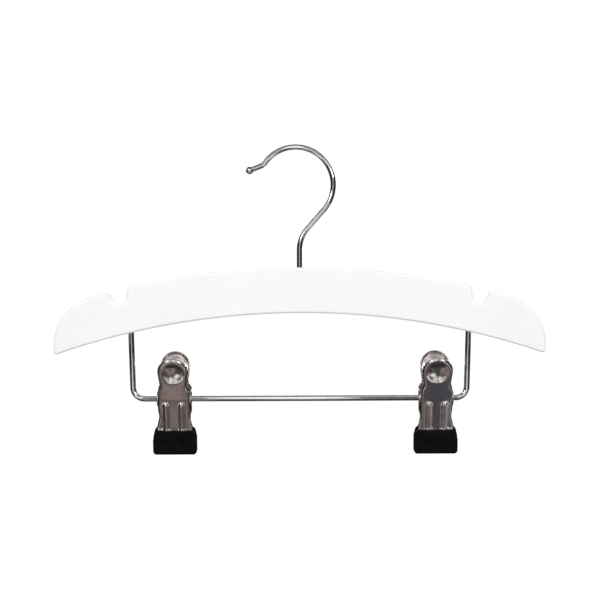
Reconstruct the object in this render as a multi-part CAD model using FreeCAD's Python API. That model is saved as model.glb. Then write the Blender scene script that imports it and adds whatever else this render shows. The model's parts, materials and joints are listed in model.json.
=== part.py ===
import FreeCAD, Part
import math
import os

# A child's skirt hanger: a flat painted board on a swivelling wire hook, with a wire bar below it
# that carries two sliding spring clips. Millimetres; +X to the right, +Y to the back, +Z up.
# The origin lies on the hook's swivel axis, where a rail bears on the inside of the hook.

# Hook
hook_wire = 3.2
hook_bend_radius = 23.0
hook_bend_offset = 2.15
hook_diagonal_angle = 41.6
hook_end_angle = 143.8
hook_low_bend_radius = 20.8
hook_kink_radius = 6.5
hook_tip_slope = 21.4
hook_tip_run = 4.5
hook_neck_length = 2.6
hook_neck_wire = 2.4
hook_ball = 4.6

# Hook retainer in the board
hook_bore_clearance = 0.2
retainer_pocket = 9.0
retainer_pocket_depth = 9.0
washer_diameter = 8.0
washer_thickness = 0.8
nut_across_flats = 5.5
nut_height = 2.4
nut_chamfer = 0.35
nut_end_play = 0.2
thread_clearance = 0.05
shank_overhang = 0.8

# Board
board_length = 301.0
board_thickness = 12.0
board_depth = 27.65
hook_reach = 71.85
top_radius = 500.0
underside_radius = 457.0
end_radius = 30.3
end_turn = 57.0
shoulder_radius = 48.9
shoulder_turn = 28.0
shoulder_drop = 1.49
end_corner_radius = 1.8
edge_round = 1.3
lip_round = 1.5

# Shoulder notches in the board's top
notch_end_margin = 40.1
notch_depth = 5.96
notch_radius = 4.4
notch_outer_angle = 57.4
notch_inner_angle = 78.4

# Trouser bar
bar_wire = 3.5
bar_drop = 52.95
bar_leg_end_margin = 46.8
bar_leg_lean = 1.6
bar_corner_radius = 7.0
bar_leg_insert = 14.0
bar_leg_clearance = 0.05

# Clips, placed by the gap from their ears to the bar's bend, and leaning a little about the bar
left_clip_gap = 7.9
right_clip_gap = 1.5
clip_lean = 5.5

# Clip jaws of pressed sheet
sheet = 0.8
sheet_edge_round = 0.35
lever_height = 26.9
lever_spread = 14.0
knee_height = 1.0
knee_bend_radius = 14.0
bite_bend_drop = 18.5
bite_bend_radius = 8.0
bar_hole_clearance = 0.15
ear_wall = 2.5
ear_top = 5.0
ear_drop = 9.0
ear_gap = 0.2
plate_gap = 0.8
cap_width = 18.6
neck_width = 16.6
neck_height = 8.7
neck_round = 5.0
shoulder_height = 5.8
shoulder_round = 2.0
body_width = 18.9
waist_drop = 13.0
waist_round = 6.0
flare_round = 8.0
bite_width = 23.6
bite_corner_radius = 1.5

# Thumb dish pressed into each lever
dish_diameter = 13.0
dish_depth = 2.0

# Stiffening ribs pressed into each jaw
rib_spread = 9.6
rib_width = 3.7
rib_height = 1.0
rib_start_drop = 1.5
rib_boot_reach = 4.5

# Rubber boots
boot_drop = 20.0
boot_height = 14.3
boot_top_width = 22.8
boot_width = 26.4
boot_taper = 6.0
boot_inner_wall = 1.3
boot_outer_wall = 1.2
boot_bottom_wall = 1.5
boot_corner_radius = 2.2
boot_side_round = 3.0
boot_edge_round = 0.9
boot_rib_cover = 0.9
boot_gap = 0.2

# Torsion springs on the bar
spring_wire = 1.4
spring_bar_clearance = 0.35
spring_pitch = 1.95
spring_full_turns = 5
spring_leg_length = 12.0
spring_leg_gap = 0.2
spring_steps_per_turn = 4

# One overrun for all cuts, and the smallest length and turn that count
overrun = 1.0
tiny = 1e-6

# Levels and places that follow from the sizes above
hook_inner_radius = hook_bend_radius - hook_wire / 2
hook_centre_z = -math.sqrt(hook_inner_radius ** 2 - hook_bend_offset ** 2)
board_top_z = -hook_reach
board_bottom_z = board_top_z - board_depth
notch_place = board_length / 2 - notch_end_margin
bar_leg_place = board_length / 2 - bar_leg_end_margin
underside_centre_z = board_bottom_z - underside_radius
top_centre_z = board_top_z - top_radius
pocket_roof_z = board_bottom_z + retainer_pocket_depth
nut_top_z = pocket_roof_z - washer_thickness - nut_end_play
nut_bottom_z = nut_top_z - nut_height
shank_end_z = nut_bottom_z - shank_overhang
bar_z = board_bottom_z - bar_drop
bar_hole_radius = bar_wire / 2 + bar_hole_clearance
ear_radius = bar_hole_radius + ear_wall
knee_spread = ear_radius + plate_gap + sheet
bite_spread = boot_gap / 2 + boot_inner_wall + sheet
boot_bottom_drop = boot_drop + boot_height
bite_drop = boot_bottom_drop - boot_bottom_wall
rear_body_width = body_width + 2 * (ear_gap + sheet)
rib_radius = ((rib_width / 2) ** 2 + rib_height ** 2) / (2 * rib_height)
lever_lean = math.atan2(lever_spread - knee_spread, lever_height - knee_height)
spring_radius = bar_wire / 2 + spring_bar_clearance + spring_wire / 2

os.makedirs("parts", exist_ok=True)
swivel_axis = FreeCAD.Vector(0, 0, 1)
bar_axis = FreeCAD.Vector(1, 0, 0)
back = FreeCAD.Vector(0, 1, 0)


def front_point(x, z):
    """A point in the plane of the board's middle."""
    return FreeCAD.Vector(x, 0, z)


def side_point(y, z):
    """A point in the plane across a clip's middle."""
    return FreeCAD.Vector(0, y, z)


def way(degrees):
    """The unit vector at an angle from +X towards +Z in the front plane."""
    angle = math.radians(degrees)
    return front_point(math.cos(angle), math.sin(angle))


def line(start, end):
    return Part.LineSegment(start, end).toShape()


def corner_arc(start, corner, end):
    """The arc that leaves start towards the corner and arrives at end from it; both are as far from it."""
    towards_start = (start - corner).normalize()
    towards_end = (end - corner).normalize()
    half_turn = (math.pi - towards_start.getAngle(towards_end)) / 2
    radius = (start - corner).Length / math.tan(half_turn)
    bisector = (towards_start + towards_end).normalize()
    middle = corner + bisector * (radius / math.cos(half_turn) - radius)
    return Part.Arc(start, middle, end).toShape()


def rounded_path(corners, radii):
    """Straight runs from corner to corner, with an arc of the given radius at each inner corner."""
    edges = []
    start = corners[0]
    for before, corner, after, radius in zip(corners, corners[1:], corners[2:], radii):
        towards_start = (before - corner).normalize()
        towards_end = (after - corner).normalize()
        turn = math.pi - towards_start.getAngle(towards_end)
        if turn < tiny:
            continue
        reach = radius * math.tan(turn / 2)
        arc_start = corner + towards_start * reach
        arc_end = corner + towards_end * reach
        if (arc_start - start).Length > tiny:
            edges.append(line(start, arc_start))
        edges.append(corner_arc(arc_start, corner, arc_end))
        start = arc_end
    edges.append(line(start, corners[-1]))
    return edges


def closed_face(edges):
    return Part.Face(Part.Wire(Part.__sortEdges__(edges)))


def polygon_face(points):
    return closed_face([line(a, b) for a, b in zip(points, points[1:] + points[:1])])


def wire_solid(edges, diameter):
    """A round wire along a path of lines and tangent arcs."""
    path = Part.Wire(edges)
    first = edges[0]
    start = first.valueAt(first.FirstParameter)
    heading = first.tangentAt(first.FirstParameter)
    section = Part.Wire([Part.Circle(start, heading, diameter / 2).toShape()])
    return path.makePipeShell([section], True, False)


def capsule(points, radius):
    """A round bar with ball ends and ball joints through a few points."""
    solid = Part.makeSphere(radius, points[0])
    for a, b in zip(points, points[1:]):
        solid = solid.fuse(Part.makeCylinder(radius, (b - a).Length, a, b - a))
        solid = solid.fuse(Part.makeSphere(radius, b))
    return solid


def mirrored(shape, normal):
    return shape.mirror(FreeCAD.Vector(0, 0, 0), normal)


# Hook, with its nut and washer

def make_hook():
    bend_centre = front_point(-hook_bend_offset, hook_centre_z)
    half_sweep = (hook_end_angle + hook_diagonal_angle) / 2
    corner_distance = hook_bend_radius / math.cos(math.radians(half_sweep / 2))
    right_corner = bend_centre + way(half_sweep / 2 - hook_diagonal_angle) * corner_distance
    left_corner = bend_centre + way(hook_end_angle - half_sweep / 2) * corner_distance
    diagonal_run = right_corner.x / math.sin(math.radians(hook_diagonal_angle))
    low_corner = right_corner - way(90 - hook_diagonal_angle) * diagonal_run
    end_heading = hook_end_angle + 90
    tip_heading = 180 + hook_tip_slope
    kink_reach = hook_kink_radius * math.tan(math.radians(end_heading - tip_heading) / 2)
    bend_reach = hook_bend_radius * math.tan(math.radians(half_sweep) / 2)
    kink_corner = left_corner + way(end_heading) * (bend_reach + kink_reach)
    tip = kink_corner + way(tip_heading) * (kink_reach + hook_tip_run)
    ball_centre = tip + way(tip_heading) * hook_neck_length
    corners = [front_point(0, shank_end_z), low_corner, right_corner, left_corner, kink_corner, tip]
    radii = [hook_low_bend_radius, hook_bend_radius, hook_bend_radius, hook_kink_radius]
    wire = wire_solid(rounded_path(corners, radii), hook_wire)
    neck = Part.makeCone(hook_wire / 2, hook_neck_wire / 2, hook_neck_length, tip, way(tip_heading))
    ball = Part.makeSphere(hook_ball / 2, ball_centre)
    return wire.fuse([neck, ball]).removeSplitter()


def make_washer():
    base = front_point(0, pocket_roof_z - washer_thickness)
    disc = Part.makeCylinder(washer_diameter / 2, washer_thickness, base, swivel_axis)
    bore_radius = hook_wire / 2 + hook_bore_clearance
    return disc.cut(Part.makeCylinder(bore_radius, washer_thickness, base, swivel_axis))


def make_nut():
    base = front_point(0, nut_bottom_z)
    corner_radius = nut_across_flats / math.sqrt(3)
    turns = [math.radians(60 * index) for index in range(6)]
    corners = [
        base + FreeCAD.Vector(math.cos(turn), math.sin(turn), 0) * corner_radius for turn in turns
    ]
    hexagon = polygon_face(corners).extrude(swivel_axis * nut_height)
    blank = Part.makeCylinder(corner_radius, nut_height, base, swivel_axis)
    rims = [edge for edge in blank.Edges if isinstance(edge.Curve, Part.Circle)]
    blank = blank.makeChamfer(nut_chamfer, rims)
    bore = Part.makeCylinder(hook_wire / 2 + thread_clearance, nut_height, base, swivel_axis)
    return hexagon.common(blank).cut(bore)


# Board

def underside_z(x):
    return underside_centre_z + math.sqrt(underside_radius ** 2 - x ** 2)


def top_z(x):
    return top_centre_z + math.sqrt(top_radius ** 2 - x ** 2)


def arc_move(heading, radius, turn):
    """How far an arc that sets off at a heading and turns left carries a point."""
    return (way(heading + 90) - way(heading + turn + 90)) * radius


def turned_arc(start, heading, radius, turn):
    """An arc that leaves start at a heading and turns left."""
    middle = start + arc_move(heading, radius, turn / 2)
    end = start + arc_move(heading, radius, turn)
    return Part.Arc(start, middle, end).toShape()


def half_board_face():
    """The right half of the board's outline, without its notch."""
    half_length = board_length / 2
    bottom_middle = front_point(0, board_bottom_z)
    bottom_quarter = front_point(half_length / 2, underside_z(half_length / 2))
    bottom_end = front_point(half_length, underside_z(half_length))
    end_move = arc_move(90, end_radius, end_turn)
    shoulder_move = arc_move(90 + end_turn, shoulder_radius, shoulder_turn)
    shoulder_x = half_length + end_move.x + shoulder_move.x
    shoulder_end = front_point(shoulder_x, top_z(shoulder_x) - shoulder_drop)
    shoulder_start = shoulder_end - shoulder_move
    side_top = shoulder_start - end_move
    top_end = front_point(notch_place, top_z(notch_place))
    top_quarter = front_point(notch_place / 2, top_z(notch_place / 2))
    top_middle = front_point(0, board_top_z)
    return closed_face([
        Part.Arc(bottom_middle, bottom_quarter, bottom_end).toShape(),
        line(bottom_end, side_top),
        turned_arc(side_top, 90, end_radius, end_turn),
        turned_arc(shoulder_start, 90 + end_turn, shoulder_radius, shoulder_turn),
        line(shoulder_end, top_end),
        Part.Arc(top_end, top_quarter, top_middle).toShape(),
        line(top_middle, bottom_middle),
    ])


def notch_face():
    """The right notch: a round bottom between two sloping walls, open at the top."""
    centre = front_point(notch_place, top_z(notch_place) - notch_depth)
    wall_length = 2 * (notch_depth + notch_radius)
    outer_start = centre + way(notch_outer_angle - 90) * notch_radius
    outer_end = outer_start + way(notch_outer_angle) * wall_length
    inner_start = centre + way(270 - notch_inner_angle) * notch_radius
    inner_end = inner_start + way(180 - notch_inner_angle) * wall_length
    bottom = centre - front_point(0, notch_radius)
    return closed_face([
        Part.Arc(inner_start, bottom, outer_start).toShape(),
        line(outer_start, outer_end),
        line(outer_end, inner_end),
        line(inner_end, inner_start),
    ])


def through_board(face):
    """A face in the middle plane, grown to the board's thickness both ways."""
    face.translate(back * (-board_thickness / 2))
    return face.extrude(back * board_thickness)


def bar_leg_top():
    """Where the right leg's centreline ends inside the board, and the way it goes down."""
    entry = front_point(bar_leg_place, underside_z(bar_leg_place))
    down = way(270 - bar_leg_lean)
    return entry - down * bar_leg_insert, down


def crossing_edges(board):
    return [edge for edge in board.Edges if edge.BoundBox.YLength > board_thickness - tiny]


def make_board():
    half = through_board(half_board_face()).cut(through_board(notch_face()))
    board = half.fuse(mirrored(half, bar_axis)).removeSplitter()
    notch_z = top_z(notch_place) - notch_depth
    notch_reach = notch_depth + notch_radius
    corner_z = underside_z(board_length / 2)
    lips = [
        edge for edge in crossing_edges(board)
        if edge.CenterOfMass.z > notch_z and abs(abs(edge.CenterOfMass.x) - notch_place) < notch_reach
    ]
    board = board.makeFillet(lip_round, lips)
    end_corners = [edge for edge in crossing_edges(board) if edge.CenterOfMass.z < corner_z + tiny]
    board = board.makeFillet(end_corner_radius, end_corners)
    rims = [
        edge for edge in board.Edges
        if edge.BoundBox.YLength < tiny and abs(edge.CenterOfMass.y) > board_thickness / 2 - tiny
    ]
    board = board.makeFillet(edge_round, rims)
    bore_base = front_point(0, board_bottom_z - overrun)
    bore_length = board_depth + 2 * overrun
    bore_radius = hook_wire / 2 + hook_bore_clearance
    pocket_length = retainer_pocket_depth + overrun
    leg_top, leg_way = bar_leg_top()
    leg_radius = bar_wire / 2 + bar_leg_clearance
    leg_bore = Part.makeCylinder(leg_radius, bar_leg_insert + 2 * bar_wire, leg_top, leg_way)
    return board.cut([
        Part.makeCylinder(bore_radius, bore_length, bore_base, swivel_axis),
        Part.makeCylinder(retainer_pocket / 2, pocket_length, bore_base, swivel_axis),
        leg_bore,
        mirrored(leg_bore, bar_axis),
    ])


# Trouser bar

def bar_right_corner():
    """Where the right leg's line meets the bar's line."""
    leg_top, leg_way = bar_leg_top()
    return leg_top + leg_way * ((leg_top.z - bar_z) / -leg_way.z)


def clip_limit():
    """How far from the middle a clip's place can be: its rear ears stop where the bar starts to bend."""
    bend_reach = bar_corner_radius * math.tan(math.radians(90 - bar_leg_lean) / 2)
    return bar_right_corner().x - bend_reach - rear_body_width / 2


def make_bar():
    leg_top, _ = bar_leg_top()
    right_corner = bar_right_corner()
    left_corner = front_point(-right_corner.x, right_corner.z)
    left_top = front_point(-leg_top.x, leg_top.z)
    corners = [left_top, left_corner, right_corner, leg_top]
    return wire_solid(rounded_path(corners, [bar_corner_radius, bar_corner_radius]), bar_wire)


# Clips are modelled about the bar's axis, front half first, and then put in place

def profile_corners(offset):
    """The corners of a front jaw's outer face seen from the side, moved inwards by an offset."""
    above_tip = overrun / (lever_height - knee_height)
    corners = [
        side_point(-lever_spread, lever_height),
        side_point(-knee_spread, knee_height),
        side_point(-bite_spread, -bite_bend_drop),
        side_point(-bite_spread, -bite_drop - overrun),
    ]
    corners[0] = corners[0] + (corners[0] - corners[1]) * above_tip
    ways = [(b - a).normalize() for a, b in zip(corners, corners[1:])]
    normals = [side_point(-run.z, run.y) for run in ways]
    befores = normals[:1] + normals
    afters = normals + normals[-1:]
    return [
        corner + (before + after) * (offset / (1 + before.dot(after)))
        for corner, before, after in zip(corners, befores, afters)
    ]


def profile_edges(offset):
    """A jaw's bends open towards the outside, so their radii grow inwards."""
    return rounded_path(
        profile_corners(offset), [knee_bend_radius + offset, bite_bend_radius + offset]
    )


def jaw_layer(outside, inside, width):
    """The layer from outside a front jaw's outer face to inside it, across a width."""
    outer = profile_edges(-outside)
    inner = profile_edges(inside)
    top = line(outer[0].Vertexes[0].Point, inner[0].Vertexes[0].Point)
    bottom = line(outer[-1].Vertexes[-1].Point, inner[-1].Vertexes[-1].Point)
    face = closed_face(outer + inner + [top, bottom])
    face.translate(bar_axis * (-width / 2))
    return face.extrude(bar_axis * width)


def jaw_mask(ear_width):
    """The outline of a front jaw seen from the front, grown through its depth."""
    cap_radius = cap_width / 2
    cap_centre = front_point(0, lever_height - cap_radius)
    neck = front_point(neck_width / 2, neck_height)
    to_neck = neck - cap_centre
    touch_angle = math.atan2(to_neck.z, to_neck.x) + math.acos(cap_radius / to_neck.Length)
    touch = cap_centre + way(math.degrees(touch_angle)) * cap_radius
    right = [
        touch,
        neck,
        front_point(ear_width / 2, shoulder_height),
        front_point(ear_width / 2, -ear_drop),
        front_point(body_width / 2, -waist_drop),
        front_point(bite_width / 2, -boot_drop - boot_taper),
        front_point(bite_width / 2, -bite_drop),
    ]
    left = [front_point(-corner.x, corner.z) for corner in reversed(right)]
    radii = [neck_round, shoulder_round, waist_round, waist_round, flare_round, bite_corner_radius]
    edges = rounded_path(right + left, radii + radii[::-1])
    edges.append(Part.Arc(left[-1], cap_centre + way(90) * cap_radius, touch).toShape())
    face = closed_face(edges)
    depth = lever_spread + 2 * overrun
    face.translate(back * -depth)
    return face.extrude(back * depth)


def make_ears(ear_width):
    """Two ears that reach back from the jaw's sides round the bar."""
    top = side_point(0, ear_radius)
    bottom = side_point(0, -ear_radius)
    front_top = side_point(-lever_spread, ear_top)
    front_bottom = side_point(-lever_spread, -ear_drop)
    face = closed_face([
        line(front_top, top),
        Part.Arc(top, side_point(ear_radius, 0), bottom).toShape(),
        line(bottom, side_point(-knee_spread, -ear_drop)),
        line(side_point(-knee_spread, -ear_drop), front_bottom),
        line(front_bottom, front_top),
    ])
    face.translate(bar_axis * (ear_width / 2 - sheet))
    reach = knee_spread + ear_radius + overrun
    ear = face.extrude(bar_axis * sheet).common(jaw_layer(0, reach, ear_width))
    return [ear, mirrored(ear, bar_axis)]


def outer_rim(jaw):
    """The edges round a front jaw's outer face."""
    edges = []
    for face in jaw.Faces:
        place = face.Surface.parameter(face.CenterOfMass)
        if face.normalAt(*place).y < -math.cos(math.radians(45)):
            edges.extend(face.Edges)
    return [edge for edge in edges if sum(edge.isSame(other) for other in edges) == 1]


def rib_axis():
    """The middle line of a rib's round back, from its top end to its end in the boot."""
    _, knee, bend, _ = profile_corners(rib_radius - rib_height)
    start_z = -rib_start_drop - rib_width / 2
    start = knee + (bend - knee) * ((knee.z - start_z) / (knee.z - bend.z))
    end = side_point(bend.y, -boot_drop - rib_boot_reach)
    return [start, bend, end]


def rib_bars(radius):
    """A round bar along the middle line of both ribs."""
    bars = []
    for side in (-1, 1):
        bar = capsule(rib_axis(), radius)
        bar.translate(bar_axis * (side * rib_spread / 2))
        bars.append(bar)
    return bars


def press_dish(jaw):
    """Push a round thumb dish into the lever, with its bulge on the inside."""
    lever = side_point(-math.sin(lever_lean), math.cos(lever_lean))
    outward = side_point(-lever.z, lever.y)
    share = (lever_height - cap_width / 2 - knee_height) / (lever_height - knee_height)
    run = side_point(knee_spread - lever_spread, lever_height - knee_height)
    middle = side_point(-knee_spread, knee_height) + run * share
    dish_radius = dish_diameter / 2
    ball_radius = (dish_radius ** 2 + dish_depth ** 2) / (2 * dish_depth)
    ball_centre = middle + outward * (ball_radius - dish_depth)
    behind = Part.makeCylinder(cap_width / 2, dish_depth + 2 * sheet, middle, outward * -1)
    bulge = Part.makeSphere(ball_radius + sheet, ball_centre).common(behind)
    return jaw.fuse(bulge).cut(Part.makeSphere(ball_radius, ball_centre))


def make_front_half(ear_width):
    """A front jaw with ears at a width, and the same jaw with its ribs' backs filled."""
    plate = jaw_layer(0, sheet, bite_width + ear_width).common(jaw_mask(ear_width))
    jaw = plate.fuse(make_ears(ear_width)).removeSplitter()
    jaw = jaw.makeFillet(sheet_edge_round, outer_rim(jaw))
    proud = jaw_layer(rib_height + overrun, sheet, bite_width)
    filled = jaw.fuse([bar.common(proud) for bar in rib_bars(rib_radius)])
    hollow = press_dish(filled).cut(rib_bars(rib_radius - sheet))
    bore_length = ear_width + 2 * overrun
    bore = Part.makeCylinder(bar_hole_radius, bore_length, bar_axis * (-bore_length / 2), bar_axis)
    return hollow.cut(bore), filled


def make_front_boot(filled_jaw):
    """A rubber sleeve round the end of a front jaw, swollen a little over the ribs."""
    right = [
        front_point(boot_top_width / 2, -boot_drop),
        front_point(boot_width / 2, -boot_drop - boot_taper),
        front_point(boot_width / 2, -boot_bottom_drop),
    ]
    left = [front_point(-corner.x, corner.z) for corner in reversed(right)]
    radii = [boot_side_round, boot_corner_radius]
    edges = rounded_path(right + left, radii + radii[::-1])
    edges.append(line(left[-1], right[0]))
    face = closed_face(edges)
    outer_y = -bite_spread - boot_outer_wall
    inner_y = -boot_gap / 2
    face.translate(back * outer_y)
    sleeve = face.extrude(back * (inner_y - outer_y))
    rims = [edge for edge in sleeve.Edges if edge.BoundBox.YMax < outer_y + tiny]
    sleeve = sleeve.makeFillet(boot_edge_round, rims)
    corner = FreeCAD.Vector(-boot_width / 2, inner_y - boot_width, -boot_drop - boot_width)
    room = Part.makeBox(boot_width, boot_width, boot_width, corner)
    swells = [bar.common(room) for bar in rib_bars(rib_radius + boot_rib_cover)]
    return sleeve.fuse(swells).cut(filled_jaw).removeSplitter()


# Torsion spring

def spring_leg_lean():
    """The angle from upright at which a leg's end lies just inside its lever."""
    lever_distance = knee_spread * math.cos(lever_lean) - knee_height * math.sin(lever_lean) - sheet
    reach = lever_distance - spring_wire / 2 - spring_leg_gap
    leg = math.hypot(spring_radius, spring_leg_length)
    return lever_lean + math.asin(reach / leg) - math.atan2(spring_radius, spring_leg_length)


def biarc(start, start_way, end, end_way):
    """Two arcs that join two points and leave and arrive along the given ways."""
    chord = end - start
    along = chord.dot(start_way + end_way)
    spread = 2 * (1 - start_way.dot(end_way))
    reach = (math.sqrt(along ** 2 + spread * chord.dot(chord)) - along) / spread
    first = start + start_way * reach
    second = end - end_way * reach
    middle = (first + second) * 0.5
    return [corner_arc(start, first, middle), corner_arc(middle, second, end)]


def spring_path():
    """Down the rear lever, round the bar from left to right, and up the front lever."""
    lean = spring_leg_lean()
    sweep = 2 * math.pi * spring_full_turns + math.pi - 2 * lean
    length = spring_pitch * sweep / (2 * math.pi)
    steps = round(spring_steps_per_turn * sweep / (2 * math.pi))
    points = []
    ways = []
    for step in range(steps + 1):
        angle = -lean - sweep * step / steps
        x = length * (step / steps) - length / 2
        points.append(FreeCAD.Vector(x, spring_radius * math.cos(angle), spring_radius * math.sin(angle)))
        advance = 0 if step in (0, steps) else length / sweep
        turning = FreeCAD.Vector(advance, spring_radius * math.sin(angle), -spring_radius * math.cos(angle))
        ways.append(turning.normalize())
    edges = [line(points[0] - ways[0] * spring_leg_length, points[0])]
    for start, start_way, end, end_way in zip(points, ways, points[1:], ways[1:]):
        edges.extend(biarc(start, start_way, end, end_way))
    edges.append(line(points[-1], points[-1] + ways[-1] * spring_leg_length))
    return edges


def print_spring_gap(edges):
    """Print the least gap from the spring's wire to itself, measured on points a third of a wire apart."""
    path = Part.Wire(edges)
    count = round(path.Length / (spring_wire / 3))
    points = path.discretize(Number=count)
    apart = round(count * math.pi * spring_radius / path.Length)
    least = min(
        (points[i] - points[j]).Length
        for i in range(count)
        for j in range(i + apart, count)
    )
    radii = [edge.Curve.Radius for edge in edges if isinstance(edge.Curve, Part.Circle)]
    print("spring gap to itself", round(least - spring_wire, 3), "least bend radius", round(min(radii), 3))


def make_spring():
    edges = spring_path()
    print_spring_gap(edges)
    return wire_solid(edges, spring_wire)


# Assembly

def in_place(shape, clip_place):
    """A clip's piece, leaned about the bar and moved to its place on it."""
    placed = shape.copy()
    placed.rotate(FreeCAD.Vector(0, 0, 0), bar_axis, clip_lean)
    placed.translate(FreeCAD.Vector(clip_place, 0, bar_z))
    return placed


def make_nodes():
    nodes = {
        "wooden_body": make_board(),
        "hook": make_hook(),
        "hook_washer": make_washer(),
        "hook_nut": make_nut(),
        "trouser_bar": make_bar(),
    }
    front_jaw, filled_front = make_front_half(body_width)
    rear_half, _ = make_front_half(rear_body_width)
    boot = make_front_boot(filled_front)
    clip = {
        "front_jaw": front_jaw,
        "rear_jaw": mirrored(rear_half, back),
        "front_boot": boot,
        "rear_boot": mirrored(boot, back),
        "spring": make_spring(),
    }
    left_place = left_clip_gap - clip_limit()
    right_place = clip_limit() - right_clip_gap
    for side, clip_place in (("left", left_place), ("right", right_place)):
        for name, shape in clip.items():
            nodes[side + "_" + name] = in_place(shape, clip_place)
    return nodes


for name, shape in make_nodes().items():
    solids = shape.Solids
    print(name, "solids", len(solids), "valid", shape.isValid(), "volume", round(shape.Volume, 2))
    shape.exportStep(os.path.join("parts", name + ".step"))
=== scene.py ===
import json
import math

import bpy
from mathutils import Matrix, Vector


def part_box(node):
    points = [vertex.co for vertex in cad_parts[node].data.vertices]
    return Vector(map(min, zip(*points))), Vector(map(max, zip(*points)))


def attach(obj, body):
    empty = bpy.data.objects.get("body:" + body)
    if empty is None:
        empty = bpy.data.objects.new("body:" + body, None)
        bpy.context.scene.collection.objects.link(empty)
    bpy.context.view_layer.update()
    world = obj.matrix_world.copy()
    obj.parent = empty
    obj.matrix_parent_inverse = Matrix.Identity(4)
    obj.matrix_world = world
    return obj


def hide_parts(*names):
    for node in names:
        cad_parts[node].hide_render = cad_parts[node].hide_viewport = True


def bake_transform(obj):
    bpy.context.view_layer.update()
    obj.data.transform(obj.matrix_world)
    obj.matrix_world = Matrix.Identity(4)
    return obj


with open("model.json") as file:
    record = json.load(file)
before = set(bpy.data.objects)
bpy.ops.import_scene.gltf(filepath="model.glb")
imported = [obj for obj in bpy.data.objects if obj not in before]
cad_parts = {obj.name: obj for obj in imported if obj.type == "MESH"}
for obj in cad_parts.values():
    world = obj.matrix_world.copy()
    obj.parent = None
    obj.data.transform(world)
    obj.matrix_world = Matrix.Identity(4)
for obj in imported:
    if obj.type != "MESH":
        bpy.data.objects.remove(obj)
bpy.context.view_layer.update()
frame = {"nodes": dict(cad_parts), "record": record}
nodes = frame["nodes"]
scene = bpy.context.scene
scene.view_settings.view_transform = "Standard"

# Sizes are in metres and angles in degrees
mm = 0.001

# Camera, at the photograph's view
camera_target = Vector((0.25 * mm, 0, -91.85 * mm))
camera_distance = 0.829
camera_elevation = 3.0
camera_roll = 0.23
camera_lens = 81.0
sensor_width = 36.0

# Clip jaws of pressed sheet, modelled about the bar's axis
sheet = 0.8 * mm
lever_roll = 2.0 * mm
bite_roll = 1.2 * mm
lever_height = 26.9 * mm
lever_spread = 14.0 * mm
knee_height = 1.0 * mm
knee_spread = 6.0 * mm
knee_bend_radius = 14.0 * mm
bite_bend_drop = 18.5 * mm
bite_bend_radius = 8.0 * mm
bite_spread = 2.2 * mm
bite_drop = 32.8 * mm
cap_width = 18.6 * mm
neck_width = 16.6 * mm
neck_height = 8.7 * mm
neck_round = 5.0 * mm
shoulder_height = 5.8 * mm
shoulder_round = 2.0 * mm
body_width = 18.9 * mm
rear_body_width = 20.9 * mm
waist_drop = 12.0 * mm
waist_round = 6.0 * mm
flare_drop = 21.5 * mm
flare_round = 8.0 * mm
bite_width = 23.6 * mm
ear_top = 5.0 * mm
ear_drop = 9.0 * mm
ear_radius = 4.4 * mm
ear_hole_radius = 1.9 * mm
ear_seam = 0.9 * mm
clip_lean = 5.5

# Thumb dishes and ribs pressed into the jaws
dish_radius = 6.9 * mm
dish_depth = 2.1 * mm
dish_blend = 0.6 * mm
jaw_bow = 0.35 * mm
rib_place = 4.8 * mm
rib_half_width = 1.95 * mm
rib_height = 1.05 * mm
rib_top = -3.35 * mm
rib_blend = 0.4 * mm

# Rubber boots
boot_top = -19.6 * mm
rear_boot_top = -18.0 * mm
boot_bottom = -34.8 * mm
boot_taper = 6.0 * mm
boot_top_width = 24.2 * mm
boot_width = 27.0 * mm
boot_side_round = 3.0 * mm
boot_corner_radius = 2.2 * mm
boot_outer_wall = 1.2 * mm
boot_half_gap = 0.1 * mm
boot_edge_round = 0.8 * mm
boot_bite_round = 0.4 * mm
swell_height = 0.7 * mm
swell_half_width = 2.5 * mm
swell_bottom = -24.5 * mm
swell_blend = 0.3 * mm

# Torsion springs on the bar
spring_wire = 1.4 * mm
spring_radius = 2.8 * mm
spring_pitch = 1.95 * mm
spring_full_turns = 5
spring_leg_length = 12.0 * mm
spring_leg_lean = 21.7
spring_steps_per_turn = 32
spring_sides = 14

# Mesh steps
across_turn = 2.5
down_step = 0.45 * mm
cap_turn = 3.0
boot_turn = 3.75
ear_steps = 14
ear_shares = (0, 0.02, 0.25, 0.5, 0.75, 0.98, 1)

# Looks: colours, roughness ranges, patterns in cycles a metre along each axis, and their depths
pattern_low = 0.3
pattern_high = 0.7
soft_detail = 2.0
plain_detail = 3.0
rich_detail = 4.0
stain_detail = 5.0
pattern_roughness = 0.55
paint_shades = ((0.865, 0.868, 0.868), (0.895, 0.895, 0.892))
paint_gloss = (0.34, 0.46)
paint_coat = 0.12
paint_coat_roughness = 0.22
paint_cloud = (35, 35, 35)
grain = (22, 420, 420)
grain_depth = 0.03 * mm
peel = (900, 900, 900)
peel_depth = 0.012 * mm
metal_cloud = (180, 180, 180)
metal_stain = (320, 320, 320)
chrome_shades = ((0.80, 0.785, 0.81), (0.90, 0.885, 0.91))
chrome_gloss = (0.05, 0.12)
chrome_waves = ((90, 90, 90), 0.03 * mm)
chrome_scratches = ((2400, 2400, 2400), 0.002 * mm)
plated_shades = ((0.76, 0.705, 0.69), (0.87, 0.82, 0.805))
plated_gloss = (0.14, 0.22)
plated_waves = ((110, 110, 110), 0.02 * mm)
plated_scratches = ((2400, 2400, 300), 0.002 * mm)
spring_shades = ((0.33, 0.32, 0.31), (0.45, 0.44, 0.43))
spring_gloss = (0.24, 0.36)
zinc_shades = ((0.50, 0.51, 0.52), (0.62, 0.63, 0.64))
zinc_gloss = (0.28, 0.42)
steel_waves = ((400, 400, 400), 0.02 * mm)
steel_scratches = ((3000, 3000, 3000), 0.004 * mm)
rubber_shades = ((0.002, 0.002, 0.0022), (0.0042, 0.0042, 0.0045))
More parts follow.
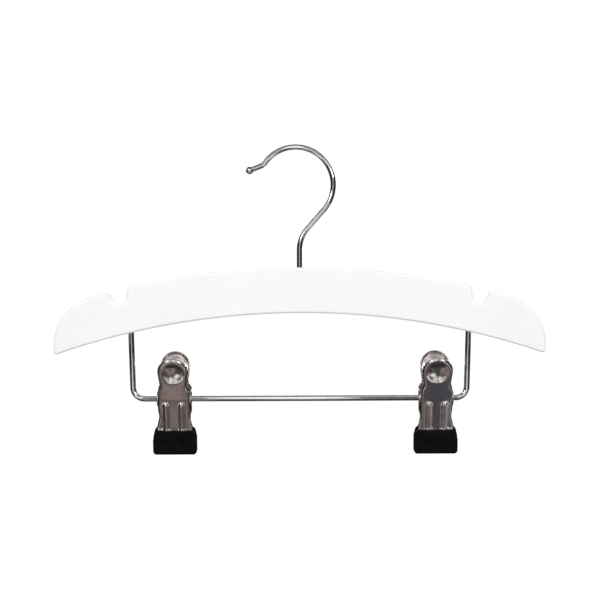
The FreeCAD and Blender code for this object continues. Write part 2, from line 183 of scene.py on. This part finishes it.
rubber_gloss = (0.30, 0.42)
rubber_shine = 0.08
rubber_cloud = (220, 220, 220)
skin = (2600, 2600, 2600)
skin_depth = 0.01 * mm
rubber_waves = (130, 130, 130)
rubber_wave_depth = 0.08 * mm

# Floor, world and lamps
floor_z = -0.42
floor_size = 8.0
floor_shade = 0.45
floor_glow = 0.79
floor_roughness = 0.9
ambient = 0.45
front_lamp_x = 0.75
front_lamp_y = -0.95
front_lamp_z = 0.45
front_lamp_aim = (0, 0, -0.12)
front_lamp_size = (0.45, 0.6)
front_lamp_watts = 7.8
back_lamp_place = (0, 1.1, 0.4)
back_lamp_aim = (0, 0, -0.1)
back_lamp_size = (1.0, 0.6)
back_lamp_watts = 7.0

# Reflection cards: cards that glow but are no lamps and only show in the polished metal, so their colours
# are painted reflections of a room, a table and stands that the scene does not hold
room_half_width = 0.8
room_front_y = -1.6
room_back_y = 2.1
wall_top_z = 0.62
ceiling_z = 0.35
ceiling_front_y = -2.0
middle_ceiling_front_y = -0.44
overhead_front_y = -0.23
overhead_back_y = -0.05
# The table cards lie just over the floor and paint a table's reflection into the metal
table_reflection_lift = 0.005
table_reflection_z = floor_z + table_reflection_lift
room_floor_front_y = -1.25
far_table_front_y = -0.75
near_table_front_y = -0.31
near_table_back_y = -0.05
under_card_back_y = 0.45
horizon_y = -1.0
horizon_x_range = (0.25, room_half_width)
horizon_z_range = (-0.25, 0.1)
# The glint cards: two small cards that glow far brighter than the rest and only show in the metal, painting
# bright highlight dots on the ribs and in the dishes
spot_y = -0.95
spot_x_range = (0.6, 0.88)
spot_z_range = (0.15, 0.33)
stand_y = -1.2
stand_z_range = (floor_z, 0.1)
left_stand_x_range = (-0.24, -0.14)
right_stand_x_range = (0.15, 0.25)
camera_stand_x_range = (0.08, 0.15)
camera_stand_z_range = (-0.35, ceiling_z)

# Card colours, as emitted: painted reflections, seen only in the metal
dark = (0.028, 0.027, 0.03)
dim = (0.06, 0.058, 0.06)
grey = (0.13, 0.12, 0.12)
mist = (0.45, 0.43, 0.44)
pale = (0.75, 0.73, 0.72)
white = (1.15, 1.13, 1.12)
# Painted glint: a glow about ten times white, for the two glint cards
painted_glint = (11.0, 10.9, 10.8)
brown = (0.205, 0.165, 0.152)
umber = (0.092, 0.074, 0.069)
slate = (0.06, 0.064, 0.078)
ash = (0.17, 0.16, 0.16)
fawn = (0.31, 0.26, 0.245)

# Bands of colour along x on the wide cards: painted reflections of a room's lit and dark patches, seen only
# in the metal
near_bands = [
    (-0.80, dark), (-0.44, dark), (-0.40, brown), (-0.34, brown), (-0.30, dark), (-0.19, umber),
    (-0.165, umber), (-0.138, fawn), (-0.11, brown), (-0.085, fawn), (-0.06, umber), (0.0, fawn),
    (0.06, slate), (0.19, slate), (0.22, grey), (0.25, grey), (0.28, dark), (0.32, dark),
    (0.36, brown), (0.44, brown), (0.48, grey), (0.54, mist), (0.80, mist),
]
far_bands = [
    (-0.80, dark), (-0.48, dark), (-0.38, white), (-0.30, white), (-0.20, umber), (-0.06, umber),
    (0.0, brown), (0.08, slate), (0.20, dark), (0.31, white), (0.40, white), (0.50, dark), (0.80, dark),
]
room_bands = [
    (-0.80, dark), (-0.65, dark), (-0.55, mist), (-0.10, mist), (-0.07, white), (0.06, white),
    (0.08, grey), (0.15, grey), (0.17, mist), (0.55, mist), (0.65, dark), (0.80, dark),
]
front_bands = [
    (-0.80, mist), (-0.38, mist), (-0.34, dim), (-0.13, dim), (-0.10, white), (0.05, white),
    (0.08, dim), (0.34, dim), (0.38, mist), (0.80, mist),
]
back_bands = [
    (-0.80, dim), (-0.40, dim), (-0.32, mist), (-0.22, grey), (0.22, grey), (0.32, mist), (0.40, dim),
    (0.80, dim),
]


# Shape helpers

def bent_line(corners, radii):
    """A function of height for a line through (distance, height) corners from the top down.

    The corners are rounded to the radii. It gives the distance and its slope.
    """
    points = [Vector(corner) for corner in corners]
    arcs = []
    knots = [points[0]]
    for before, corner, after, radius in zip(points, points[1:], points[2:], radii):
        way_in = (corner - before).normalized()
        way_out = (after - corner).normalized()
        turn = way_in.angle(way_out)
        reach = radius * math.tan(turn / 2)
        inward = (way_out - way_in).normalized()
        centre = corner + inward * (radius / math.cos(turn / 2))
        start = corner - way_in * reach
        end = corner + way_out * reach
        arcs.append((start, end, centre, radius))
        knots += [start, end]
    knots.append(points[-1])

    def at(height):
        for start, end, centre, radius in arcs:
            if end.y < height < start.y:
                rise = height - centre.y
                out = math.copysign(math.sqrt(radius ** 2 - rise ** 2), start.x - centre.x)
                return centre.x + out, -rise / out
        runs = list(zip(knots[::2], knots[1::2]))
        start, end = next((run for run in runs if height >= run[1].y), runs[-1])
        slope = (end.x - start.x) / (end.y - start.y)
        return start.x + slope * (height - start.y), slope

    return at


def smooth_rise(value, blend):
    """Zero where the value is well below zero, the value where it is well above, and smooth between."""
    return (value + math.hypot(value, blend)) / 2


def round_over(distance, radius):
    """How far a rounded edge falls away at a distance from the border."""
    short = max(0.0, radius - distance)
    return radius - math.sqrt(max(0.0, radius ** 2 - short ** 2))


def mound(along, across, size):
    """One at the middle of a round mound of the given size, and zero at its foot."""
    return 1 - (math.hypot(along, across) / size) ** 2


def shares_across(turn_step):
    """Places from one border to the other, as shares of the half width, closest at the borders."""
    count = round(90 / turn_step)
    return [math.sin(math.radians(90 * step / count)) for step in range(-count, count + 1)]


def grid_faces(rows, columns, first=0, around=False):
    """Faces of a grid of points in rows. A grid that goes around joins its last column to its first."""
    faces = []
    for row in range(rows - 1):
        low = first + row * columns
        high = low + columns
        for column in range(columns if around else columns - 1):
            beside = (column + 1) % columns
            faces.append((low + column, low + beside, high + beside, high + column))
    return faces


def flipped(faces):
    return [face[::-1] for face in faces]


def make_piece(side, name, points, faces, slot):
    """A smooth mesh piece with the material of a slot, from points in a clip's own coordinates."""
    matrix = clip_matrix(side)
    mesh = bpy.data.meshes.new(name)
    mesh.from_pydata([matrix @ point for point in points], [], faces)
    mesh.shade_smooth()
    mesh.materials.append(materials[slot])
    piece = bpy.data.objects.new(name, mesh)
    scene.collection.objects.link(piece)
    return piece


# Node helpers

def new_material(name):
    material = bpy.data.materials.new(name)
    material.use_nodes = True
    tree = material.node_tree
    return material, tree, tree.nodes["Principled BSDF"]


def object_place(tree, scale):
    """The piece's own coordinates, stretched by a scale for each axis, in cycles a metre."""
    place = tree.nodes.new("ShaderNodeTexCoord")
    mapping = tree.nodes.new("ShaderNodeMapping")
    mapping.inputs["Scale"].default_value = scale
    tree.links.new(place.outputs["Object"], mapping.inputs["Vector"])
    return mapping.outputs["Vector"]


def noise(tree, scale, detail):
    """A noise pattern with the given cycles a metre along each axis."""
    node = tree.nodes.new("ShaderNodeTexNoise")
    node.inputs["Scale"].default_value = 1.0
    node.inputs["Detail"].default_value = detail
    node.inputs["Roughness"].default_value = pattern_roughness
    tree.links.new(object_place(tree, scale), node.inputs["Vector"])
    return node.outputs["Fac"]


def spread(tree, value, low, high):
    """Map a pattern's middle range onto low to high."""
    node = tree.nodes.new("ShaderNodeMapRange")
    node.inputs["From Min"].default_value = pattern_low
    node.inputs["From Max"].default_value = pattern_high
    node.inputs["To Min"].default_value = low
    node.inputs["To Max"].default_value = high
    tree.links.new(value, node.inputs["Value"])
    return node.outputs["Result"]


def tint(tree, value, shades):
    """Map a pattern onto two colours."""
    node = tree.nodes.new("ShaderNodeValToRGB")
    for element, place, shade in zip(node.color_ramp.elements, (pattern_low, pattern_high), shades):
        element.position = place
        element.color = (*shade, 1)
    tree.links.new(value, node.inputs["Fac"])
    return node.outputs["Color"]


def bump(tree, shader, layers):
    """Stack bump layers, each a pattern and its depth in metres."""
    normal = None
    for value, depth in layers:
        node = tree.nodes.new("ShaderNodeBump")
        node.inputs["Distance"].default_value = depth
        tree.links.new(value, node.inputs["Height"])
        if normal:
            tree.links.new(normal, node.inputs["Normal"])
        normal = node.outputs["Normal"]
    tree.links.new(normal, shader.inputs["Normal"])


# Materials

def make_white_paint():
    material, tree, shader = new_material("white_paint")
    grain_pattern = noise(tree, grain, rich_detail)
    peel_pattern = noise(tree, peel, soft_detail)
    cloud = noise(tree, paint_cloud, plain_detail)
    tree.links.new(tint(tree, cloud, paint_shades), shader.inputs["Base Color"])
    tree.links.new(spread(tree, grain_pattern, *paint_gloss), shader.inputs["Roughness"])
    shader.inputs["Coat Weight"].default_value = paint_coat
    shader.inputs["Coat Roughness"].default_value = paint_coat_roughness
    bump(tree, shader, [(grain_pattern, grain_depth), (peel_pattern, peel_depth)])
    return material


def make_metal(name, shades, gloss, waves, scratches):
    """Plated metal: gloss is its roughness range, waves and scratches are cycles a metre and depth."""
    material, tree, shader = new_material(name)
    shader.inputs["Metallic"].default_value = 1.0
    cloud = noise(tree, metal_cloud, rich_detail)
    tree.links.new(tint(tree, cloud, shades), shader.inputs["Base Color"])
    stain = noise(tree, metal_stain, stain_detail)
    tree.links.new(spread(tree, stain, *gloss), shader.inputs["Roughness"])
    layers = [(noise(tree, cycles, soft_detail), depth) for cycles, depth in (waves, scratches)]
    bump(tree, shader, layers)
    return material


def make_black_rubber():
    material, tree, shader = new_material("black_rubber")
    cloud = noise(tree, rubber_cloud, rich_detail)
    skin_pattern = noise(tree, skin, soft_detail)
    tree.links.new(tint(tree, cloud, rubber_shades), shader.inputs["Base Color"])
    tree.links.new(spread(tree, skin_pattern, *rubber_gloss), shader.inputs["Roughness"])
    shader.inputs["Specular IOR Level"].default_value = rubber_shine
    wave_pattern = noise(tree, rubber_waves, soft_detail)
    bump(tree, shader, [(skin_pattern, skin_depth), (wave_pattern, rubber_wave_depth)])
    return material


materials = {
    "white_paint": make_white_paint(),
    "chrome_wire": make_metal("chrome_wire", chrome_shades, chrome_gloss, chrome_waves, chrome_scratches),
    "plated_sheet": make_metal("plated_sheet", plated_shades, plated_gloss, plated_waves, plated_scratches),
    "spring_steel": make_metal("spring_steel", spring_shades, spring_gloss, steel_waves, steel_scratches),
    "zinc_steel": make_metal("zinc_steel", zinc_shades, zinc_gloss, steel_waves, steel_scratches),
    "black_rubber": make_black_rubber(),
}

for subpart in frame["record"]["subparts"]:
    node = nodes[subpart["node"]]
    node.data.materials.clear()
    node.data.materials.append(materials[subpart["material_slot"]])


# Clip jaws

jaw_face = bent_line(
    [
        (-lever_spread, lever_height),
        (-knee_spread, knee_height),
        (-bite_spread, -bite_bend_drop),
        (-bite_spread, -bite_drop),
    ],
    [knee_bend_radius, bite_bend_radius],
)
cap_radius = cap_width / 2
cap_centre = lever_height - cap_radius
lever_slope = (knee_spread - lever_spread) / (lever_height - knee_height)
lever_stretch = math.hypot(1, lever_slope)


def clip_matrix(side):
    """Where a clip's own coordinates lie in the frame."""
    low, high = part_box(side + "_front_jaw")
    bar_low, bar_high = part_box("trouser_bar")
    bar_wire = bar_high[1] - bar_low[1]
    place = Vector(((low[0] + high[0]) / 2, 0, bar_low[2] + bar_wire / 2))
    return Matrix.Translation(place) @ Matrix.Rotation(math.radians(clip_lean), 4, "X")


def jaw_border(ear_width):
    """A function of height for a jaw's half width and the slope of its border."""
    to_neck = Vector((neck_width / 2, neck_height - cap_centre))
    touch_turn = math.atan2(to_neck.y, to_neck.x) + math.acos(cap_radius / to_neck.length)
    touch = (cap_radius * math.cos(touch_turn), cap_centre + cap_radius * math.sin(touch_turn))
    sides = bent_line(
        [
            touch,
            (neck_width / 2, neck_height),
            (ear_width / 2, shoulder_height),
            (ear_width / 2, -ear_drop),
            (body_width / 2, -waist_drop),
            (bite_width / 2, -flare_drop),
            (bite_width / 2, -bite_drop),
        ],
        [neck_round, shoulder_round, waist_round, waist_round, flare_round],
    )

    def at(height):
        if height < touch[1]:
            return sides(height)
        rise = height - cap_centre
        half_width = math.sqrt(cap_radius ** 2 - rise ** 2)
        return half_width, -rise / half_width

    return at


def jaw_heights():
    """The heights of a jaw's rows of points, from the top down."""
    turns = [cap_turn * (step + 0.5) for step in range(round(90 / cap_turn))]
    rows = [cap_centre + cap_radius * math.cos(math.radians(turn)) for turn in turns]
    run = rows[-1] + bite_drop
    count = round(run / down_step)
    return rows + [rows[-1] - run * step / count for step in range(1, count + 1)]


def edge_roll(height):
    """The radius of a jaw's rolled edge, which narrows at the ears to clear the other jaw."""
    share = (height - ear_radius) / (neck_height - ear_radius)
    return bite_roll + (lever_roll - bite_roll) * min(1, max(0, share))


def jaw_relief(x, height, border_distance):
    """How far a jaw's outer face stands out of its bent plane."""
    dish = mound((height - cap_centre) * lever_stretch, x, dish_radius) * dish_depth
    rib = mound(max(0, height - rib_top), abs(x) - rib_place, rib_half_width) * rib_height
    bow = (x / cap_radius) ** 2 * jaw_bow
    pressed = smooth_rise(rib, rib_blend) - smooth_rise(dish, dish_blend)
    return pressed - bow - round_over(border_distance, edge_roll(height))


def jaw_sheet_rows(ear_width):
    """Rows of points on a front jaw's outer face."""
    border = jaw_border(ear_width)
    rows = []
    for height in jaw_heights():
        y, slope = jaw_face(height)
        outward = Vector((0, -1, slope)).normalized()
        half_width, border_slope = border(height)
        row = []
        for share in shares_across(across_turn):
            x = share * half_width
            if height > cap_centre:
                border_distance = cap_radius - math.hypot(x, height - cap_centre)
            else:
                border_distance = (half_width - abs(x)) / math.hypot(1, border_slope)
            row.append(Vector((x, y, height)) + outward * jaw_relief(x, height, border_distance))
        rows.append(row)
    return rows


def ear_outline():
    """Points round a front jaw's ear seen from the side: over the bar, under it, and up the sheet."""
    steps = [step / ear_steps for step in range(ear_steps)]
    front_top = Vector((jaw_face(ear_top)[0] + ear_seam, ear_top))
    front_bottom = Vector((jaw_face(-ear_drop)[0] + ear_seam, -ear_drop))
    over = [front_top.lerp(Vector((0, ear_radius)), share) for share in steps]
    turns = [math.pi * (0.5 - share) for share in steps]
    around = [Vector((math.cos(turn), math.sin(turn))) * ear_radius for turn in turns]
    under = [Vector((0, -ear_radius)).lerp(front_bottom, share) for share in steps]
    heights = [-ear_drop + (ear_top + ear_drop) * share for share in steps]
    front = [Vector((jaw_face(height)[0] + ear_seam, height)) for height in heights]
    return over + around + under + front


def ear_rows(x):
    """Rings of points from the bar's hole to an ear's outline, on its outer face."""
    rows = []
    for share in ear_shares:
        ring = [(point.normalized() * ear_hole_radius).lerp(point, share) for point in ear_outline()]
        rows.append([Vector((x, point.x, point.y)) for point in ring])
    return rows


def make_jaw(side, half, ear_width):
    """One pressed jaw: the sheet with its dish, ribs and rolled edge, and two ears round the bar."""
    node_name = side + "_" + half + "_jaw"
    rows = jaw_sheet_rows(ear_width)
    points = [point for row in rows for point in row]
    faces = grid_faces(len(rows), len(rows[0]))
    for x in (-ear_width / 2, ear_width / 2):
        rings = ear_rows(x)
        ring_faces = grid_faces(len(rings), len(rings[0]), len(points), around=True)
        faces += flipped(ring_faces) if x > 0 else ring_faces
        points += [point for ring in rings for point in ring]
    if half == "rear":
        points = [Vector((point.x, -point.y, point.z)) for point in points]
    else:
        faces = flipped(faces)
    piece = make_piece(side, node_name + "_pressing", points, faces, "plated_sheet")
    thickness = piece.modifiers.new("sheet", "SOLIDIFY")
    thickness.thickness = sheet
    thickness.offset = -1
    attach(piece, node_name)
    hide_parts(node_name)


# Rubber boots

def boot_sides(top):
    """A function of height for the half width of a boot with the given top."""
    return bent_line(
        [
            (boot_top_width / 2, top),
            (boot_width / 2, top - boot_taper),
            (boot_width / 2, boot_bottom),
        ],
        [boot_side_round],
    )


def boot_border_distance(side_distance, end_distance):
    """The distance to a boot's border, round at the corners."""
    if max(side_distance, end_distance) > boot_corner_radius:
        return min(side_distance, end_distance)
    return boot_corner_radius - math.hypot(
        boot_corner_radius - side_distance, boot_corner_radius - end_distance)


def boot_outer_y(x, height, border_distance):
    swell = mound(max(0, swell_bottom - height), abs(x) - rib_place, swell_half_width) * swell_height
    flat = -bite_spread - boot_outer_wall - smooth_rise(swell, swell_blend)
    return flat + round_over(border_distance, boot_edge_round)


def boot_bite_y(x, height, border_distance):
    return -boot_half_gap - round_over(border_distance, boot_bite_round)


def boot_rows(surface_y, top):
    """Rows of points on one face of a front boot, from the top down."""
    middle = (top + boot_bottom) / 2
    reach = (top - boot_bottom) / 2
    sides = boot_sides(top)
    rows = []
    for row_share in shares_across(boot_turn):
        height = middle - reach * row_share
        end_distance = reach * (1 - abs(row_share))
        half_width, slope = sides(height)
        row_width = half_width - round_over(end_distance, boot_corner_radius)
        row = []
        for share in shares_across(across_turn):
            x = share * row_width
            side_distance = (half_width - abs(x)) / math.hypot(1, slope)
            border_distance = boot_border_distance(side_distance, end_distance)
            row.append(Vector((x, surface_y(x, height, border_distance), height)))
        rows.append(row)
    return rows


def rim_indices(rows, columns):
    """The points round a grid's border, in order."""
    top = list(range(columns))
    right = [row * columns + columns - 1 for row in range(1, rows)]
    bottom = [(rows - 1) * columns + column for column in range(columns - 2, -1, -1)]
    left = [row * columns for row in range(rows - 2, 0, -1)]
    return top + right + bottom + left


def make_boot(side, half, top):
    """A rubber sleeve with soft edges that swells a little over the ribs."""
    node_name = side + "_" + half + "_boot"
    outer = boot_rows(boot_outer_y, top)
    bite = boot_rows(boot_bite_y, top)
    rows, columns = len(outer), len(outer[0])
    points = [point for row in outer + bite for point in row]
    behind = rows * columns
    faces = flipped(grid_faces(rows, columns)) + grid_faces(rows, columns, behind)
    rim = rim_indices(rows, columns)
    for here, there in zip(rim, rim[1:] + rim[:1]):
        faces.append((here, there, behind + there, behind + here))
    if half == "rear":
        points = [Vector((point.x, -point.y, point.z)) for point in points]
        faces = flipped(faces)
    piece = make_piece(side, node_name + "_rubber", points, faces, "black_rubber")
    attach(piece, side + "_" + half + "_jaw")
    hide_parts(node_name)


# Springs

def spring_path():
    """Down the rear lever, round the bar and up the front lever, and the coil's length."""
    lean = math.radians(spring_leg_lean)
    sweep = 2 * math.pi * spring_full_turns + math.pi - 2 * lean
    length = spring_pitch * sweep / (2 * math.pi)
    steps = round(spring_steps_per_turn * sweep / (2 * math.pi))
    coil = []
    for step in range(steps + 1):
        angle = -lean - sweep * step / steps
        x = length * (step / steps - 0.5)
        coil.append(Vector((x, spring_radius * math.cos(angle), spring_radius * math.sin(angle))))
    rear_way = Vector((0, math.sin(lean), math.cos(lean)))
    front_way = Vector((0, -math.sin(lean), math.cos(lean)))
    first = coil[0] + rear_way * spring_leg_length
    last = coil[-1] + front_way * spring_leg_length
    return [first] + coil + [last], length


def tube(path, radius, sides):
    """Points and faces of a closed tube along a path."""
    points = []
    across = Vector((1, 0, 0))
    for index, centre in enumerate(path):
        way = (path[min(index + 1, len(path) - 1)] - path[max(index - 1, 0)]).normalized()
        across = (across - way * across.dot(way)).normalized()
        other = way.cross(across)
        for step in range(sides):
            turn = 2 * math.pi * step / sides
            points.append(centre + (across * math.cos(turn) + other * math.sin(turn)) * radius)
    faces = grid_faces(len(path), sides, around=True)
    faces.append(tuple(reversed(range(sides))))
    faces.append(tuple(range(len(points) - sides, len(points))))
    return points, faces


def make_spring(side):
    """A torsion spring whose legs follow the two levers."""
    path, length = spring_path()
    points, faces = tube(path, spring_wire / 2, spring_sides)
    piece = make_piece(side, side + "_spring_wire", points, faces, "spring_steel")
    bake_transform(piece)
    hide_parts(side + "_spring")


for clip_side in ("left", "right"):
    make_jaw(clip_side, "front", body_width)
    make_jaw(clip_side, "rear", rear_body_width)
    make_boot(clip_side, "front", boot_top)
    make_boot(clip_side, "rear", rear_boot_top)
    make_spring(clip_side)


# Floor, world, lamps and reflection cards

def seen_directly(tree):
    """1 for camera, glossy and transmission rays, 0 for the rays that light surfaces."""
    path = tree.nodes.new("ShaderNodeLightPath")
    total = path.outputs["Is Camera Ray"]
    for name in ("Is Glossy Ray", "Is Transmission Ray"):
        node = tree.nodes.new("ShaderNodeMath")
        node.operation = "MAXIMUM"
        tree.links.new(total, node.inputs[0])
        tree.links.new(path.outputs[name], node.inputs[1])
        total = node.outputs[0]
    return total


def make_plane(name, centre, half_u, half_v):
    mesh = bpy.data.meshes.new(name)
    corners = [centre + half_u * u + half_v * v for u, v in ((-1, -1), (1, -1), (1, 1), (-1, 1))]
    mesh.from_pydata(corners, [], [(0, 1, 2, 3)])
    plane = bpy.data.objects.new(name, mesh)
    scene.collection.objects.link(plane)
    return plane


def make_floor():
    """A pale floor. The glow, which only the camera and reflections see, brings it up to white."""
    half = floor_size / 2
    floor = make_plane("floor", Vector((0, 0, floor_z)), Vector((half, 0, 0)), Vector((0, half, 0)))
    material, tree, shader = new_material("floor_white")
    shader.inputs["Base Color"].default_value = (floor_shade, floor_shade, floor_shade, 1)
    shader.inputs["Roughness"].default_value = floor_roughness
    shader.inputs["Emission Color"].default_value = (floor_glow, floor_glow, floor_glow, 1)
    tree.links.new(seen_directly(tree), shader.inputs["Emission Strength"])
    floor.data.materials.append(material)


def make_world():
    """A white world that lights surfaces with the ambient level only."""
    world = bpy.data.worlds.new("studio")
    scene.world = world
    world.use_nodes = True
    tree = world.node_tree
    background = tree.nodes["Background"]
    background.inputs["Color"].default_value = (1, 1, 1, 1)
    level = tree.nodes.new("ShaderNodeMapRange")
    level.inputs["To Min"].default_value = ambient
    level.inputs["To Max"].default_value = 1.0
    tree.links.new(seen_directly(tree), level.inputs["Value"])
    tree.links.new(level.outputs["Result"], background.inputs["Strength"])


def make_softbox(name, place, aim, size, watts):
    lamp = bpy.data.lights.new(name, "AREA")
    lamp.shape = "RECTANGLE"
    lamp.size, lamp.size_y = size
    lamp.energy = watts
    holder = bpy.data.objects.new(name, lamp)
    holder.location = place
    holder.rotation_euler = (Vector(aim) - Vector(place)).to_track_quat("-Z", "Y").to_euler()
    scene.collection.objects.link(holder)


def banded(tree, bands):
    """Colours that blend from place to place along x, from (place, colour) pairs."""
    place = tree.nodes.new("ShaderNodeTexCoord")
    split = tree.nodes.new("ShaderNodeSeparateXYZ")
    share = tree.nodes.new("ShaderNodeMapRange")
    ramp = tree.nodes.new("ShaderNodeValToRGB")
    first, last = bands[0][0], bands[-1][0]
    share.inputs["From Min"].default_value = first
    share.inputs["From Max"].default_value = last
    elements = ramp.color_ramp.elements
    while len(elements) < len(bands):
        elements.new(1.0)
    for element, (x, colour) in zip(elements, bands):
        element.position = (x - first) / (last - first)
        element.color = (*colour, 1)
    tree.links.new(place.outputs["Object"], split.inputs["Vector"])
    tree.links.new(split.outputs["X"], share.inputs["Value"])
    tree.links.new(share.outputs["Result"], ramp.inputs["Fac"])
    return ramp.outputs["Color"]


def make_card(name, centre, half_u, half_v, colour, bands=None):
    """A glowing card that is no lamp and only shows in polished metal: a painted reflection of a studio's
    flags and walls.
    """
    card = make_plane(name, Vector(centre), Vector(half_u), Vector(half_v))
    card.visible_camera = False
    card.visible_diffuse = False
    card.visible_shadow = False
    card.visible_transmission = False
    material, tree, shader = new_material(name)
    shader.inputs["Base Color"].default_value = (0, 0, 0, 1)
    shader.inputs["Roughness"].default_value = 1.0
    shader.inputs["Specular IOR Level"].default_value = 0.0
    shader.inputs["Emission Color"].default_value = (*colour, 1)
    if bands:
        tree.links.new(banded(tree, bands), shader.inputs["Emission Color"])
    shader.inputs["Emission Strength"].default_value = 1.0
    card.data.materials.append(material)


def middle_and_half(low, high):
    return (low + high) / 2, (high - low) / 2


def make_level_card(name, front_y, back_y, z, colour, bands=None):
    """A level card across the room's width."""
    y, half_y = middle_and_half(front_y, back_y)
    make_card(name, (0, y, z), (room_half_width, 0, 0), (0, half_y, 0), colour, bands)


def make_upright_card(name, x_range, y, z_range, colour):
    """A card that stands across the view."""
    x, half_x = middle_and_half(*x_range)
    z, half_z = middle_and_half(*z_range)
    make_card(name, (x, y, z), (half_x, 0, 0), (0, 0, half_z), colour)


def make_upright_pair(name, x_range, y, z_range, colour):
    """A card on the left and its mirror image on the right."""
    near_x, far_x = x_range
    make_upright_card("left_" + name, (-far_x, -near_x), y, z_range, colour)
    make_upright_card("right_" + name, (near_x, far_x), y, z_range, colour)


def make_wall_reflections():
    """Dark glowing cards at both sides of the room and at its back: painted reflections of flags, seen only
    in the metal.
    """
    y, half_y = middle_and_half(room_front_y, room_back_y)
    z, half_z = middle_and_half(floor_z, wall_top_z)
    for name, x in (("left_flag_reflection", -room_half_width), ("right_flag_reflection", room_half_width)):
        make_card(name, (x, y, z), (0, half_y, 0), (0, 0, half_z), dark)
    x_range = (-room_half_width, room_half_width)
    make_upright_card("back_flag_reflection", x_range, room_back_y, (floor_z, wall_top_z), dim)


make_floor()
make_world()
for lamp_name, lamp_x in (("left_softbox", -front_lamp_x), ("right_softbox", front_lamp_x)):
    lamp_place = (lamp_x, front_lamp_y, front_lamp_z)
    make_softbox(lamp_name, lamp_place, front_lamp_aim, front_lamp_size, front_lamp_watts)
make_softbox("back_softbox", back_lamp_place, back_lamp_aim, back_lamp_size, back_lamp_watts)
make_wall_reflections()
# Glowing level cards overhead: painted reflections of a ceiling and of its lit patches, seen only in the
# metal
make_level_card("back_ceiling_reflection", overhead_back_y, room_back_y, ceiling_z, dim)
make_level_card("overhead_reflection", overhead_front_y, overhead_back_y, ceiling_z, ash)
make_level_card("middle_ceiling_reflection", middle_ceiling_front_y, overhead_front_y, ceiling_z, pale)
make_level_card("front_ceiling_reflection", ceiling_front_y, middle_ceiling_front_y, ceiling_z, grey, front_bands)
# Glowing upright cards: painted reflections of a dark horizon and of stands in front, seen only in the
# metal
make_upright_pair("horizon_reflection", horizon_x_range, horizon_y, horizon_z_range, dark)
# Painted glints: the two brightest cards, which put highlight dots on the ribs and in the dishes
make_upright_pair("painted_glint", spot_x_range, spot_y, spot_z_range, painted_glint)
make_upright_card("left_stand_reflection", left_stand_x_range, stand_y, stand_z_range, grey)
make_upright_card("right_stand_reflection", right_stand_x_range, stand_y, stand_z_range, grey)
make_upright_card("camera_stand_reflection", camera_stand_x_range, stand_y, camera_stand_z_range, grey)
# Glowing level cards just over the floor: painted reflections of a table and a room's floor, seen only in
# the metal
make_level_card("under_card", near_table_back_y, under_card_back_y, table_reflection_z, dark)
make_level_card("back_table_reflection", under_card_back_y, room_back_y, table_reflection_z, grey, back_bands)
make_level_card("near_table_reflection", near_table_front_y, near_table_back_y, table_reflection_z, brown, near_bands)
make_level_card("far_table_reflection", far_table_front_y, near_table_front_y, table_reflection_z, brown, far_bands)
make_level_card("room_floor_reflection", room_floor_front_y, far_table_front_y, table_reflection_z, mist, room_bands)


# Camera

def make_camera():
    camera = bpy.data.cameras.new("camera")
    camera.sensor_width = sensor_width
    camera.lens = camera_lens
    holder = bpy.data.objects.new("camera", camera)
    elevation = math.radians(camera_elevation)
    away = Vector((0, -math.cos(elevation), math.sin(elevation)))
    holder.location = camera_target + away * camera_distance
    holder.rotation_euler = (-away).to_track_quat("-Z", "Y").to_euler()
    holder.rotation_euler.rotate_axis("Z", math.radians(-camera_roll))
    scene.collection.objects.link(holder)
    scene.camera = holder


make_camera()
